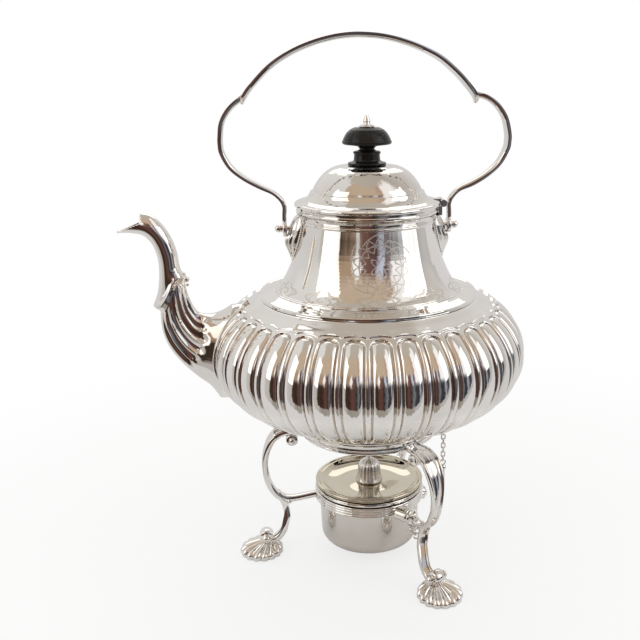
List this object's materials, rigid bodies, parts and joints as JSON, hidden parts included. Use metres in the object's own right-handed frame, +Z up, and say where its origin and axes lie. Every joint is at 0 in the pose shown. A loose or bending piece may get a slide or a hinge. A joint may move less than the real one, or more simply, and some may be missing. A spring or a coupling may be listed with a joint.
{
  "type": "spirit kettle on stand",
  "caption": "Silver plated spirit kettle with a gadrooned belly, swan neck spout, bail handle and hinged lid, on a scrolled stand with shell feet that holds a spirit lamp",
  "frame": {"origin": "centre of the object's bounding box on the table, so midway between the spout's tip and the far side of the belly; the kettle's own axis is 25.75 mm from it towards +X", "axes": "+Z is up from the table; the spout points along -X and the lid's hinge is on +X; -Y faces the viewer, and the handle stands in the XZ plane and swings about X"},
  "size_m": [0.2506, 0.198, 0.336],
  "materials": {
    "silver_plate": "polished",
    "lamp_plate": "polished",
    "knob_black": "gloss",
    "cotton": "woven"
  },
  "bodies": {
    "stand": {"stand_ring": "silver_plate", "leg_spout_side": "silver_plate", "leg_front": "silver_plate", "leg_rear": "silver_plate", "foot_spout_side": "silver_plate", "foot_front": "silver_plate", "foot_rear": "silver_plate", "lamp_ring": "silver_plate", "lamp_socket": "silver_plate", "lamp_bar": "silver_plate", "socket_collar": "silver_plate", "lamp_chain": "silver_plate", "stand_cheeks": "silver_plate", "tilt_pin": "silver_plate"},
    "locking_pin_on_chain": {"locking_pin": "silver_plate", "locking_chain": "silver_plate"},
    "kettle": {"belly": "silver_plate", "shoulder": "silver_plate", "collar": "silver_plate", "kettle_base": "silver_plate", "spout": "silver_plate", "ear_spout_side": "silver_plate", "ear_lid_side": "silver_plate", "kettle_lugs": "silver_plate", "hinge_seat": "silver_plate", "pivot_pins": "silver_plate", "hinge_pin": "silver_plate"},
    "bail_handle": {"handle": "silver_plate"},
    "lid": {"lid_dome": "silver_plate", "lid_skirt": "silver_plate", "lid_knuckle": "silver_plate", "knob_stem": "knob_black", "knob_cap": "knob_black", "finial": "silver_plate", "knob_nut": "lamp_plate"},
    "lamp": {"lamp_cup": "lamp_plate", "lamp_cover": "lamp_plate", "wick_tube": "lamp_plate", "wick": "cotton"},
    "lamp_snuffer": {"snuffer": "lamp_plate"}
  },
  "joints": [
    {"name": "kettle_tilt", "type": "hinge", "parent": "stand", "child": "kettle", "pos_m": [-0.02565, 0, 0.08134], "axis": [0, -1, 0], "range_deg": [0, 40]},
    {"name": "handle_swing", "type": "hinge", "parent": "kettle", "child": "bail_handle", "pos_m": [0.02575, 0, 0.2205], "axis": [1, 0, 0], "range_deg": [-100, 100]},
    {"name": "lid_hinge", "type": "hinge", "parent": "kettle", "child": "lid", "pos_m": [0.07255, 0, 0.2348], "axis": [0, 1, 0], "range_deg": [0, 46]},
    {"name": "lamp_lift", "type": "slide", "parent": "stand", "child": "lamp", "axis": [0, 0, 1], "range_m": [0, 0.022]},
    {"name": "snuffer_lift", "type": "slide", "parent": "lamp", "child": "lamp_snuffer", "axis": [0, 0, 1], "range_m": [0, 0.014]},
    {"name": "pin_chain_swing", "type": "hinge", "parent": "stand", "child": "locking_pin_on_chain", "pos_m": [0.07535, -0.0057, 0.08558], "axis": [0, 1, 0], "range_deg": [-20, 10]}
  ]
}
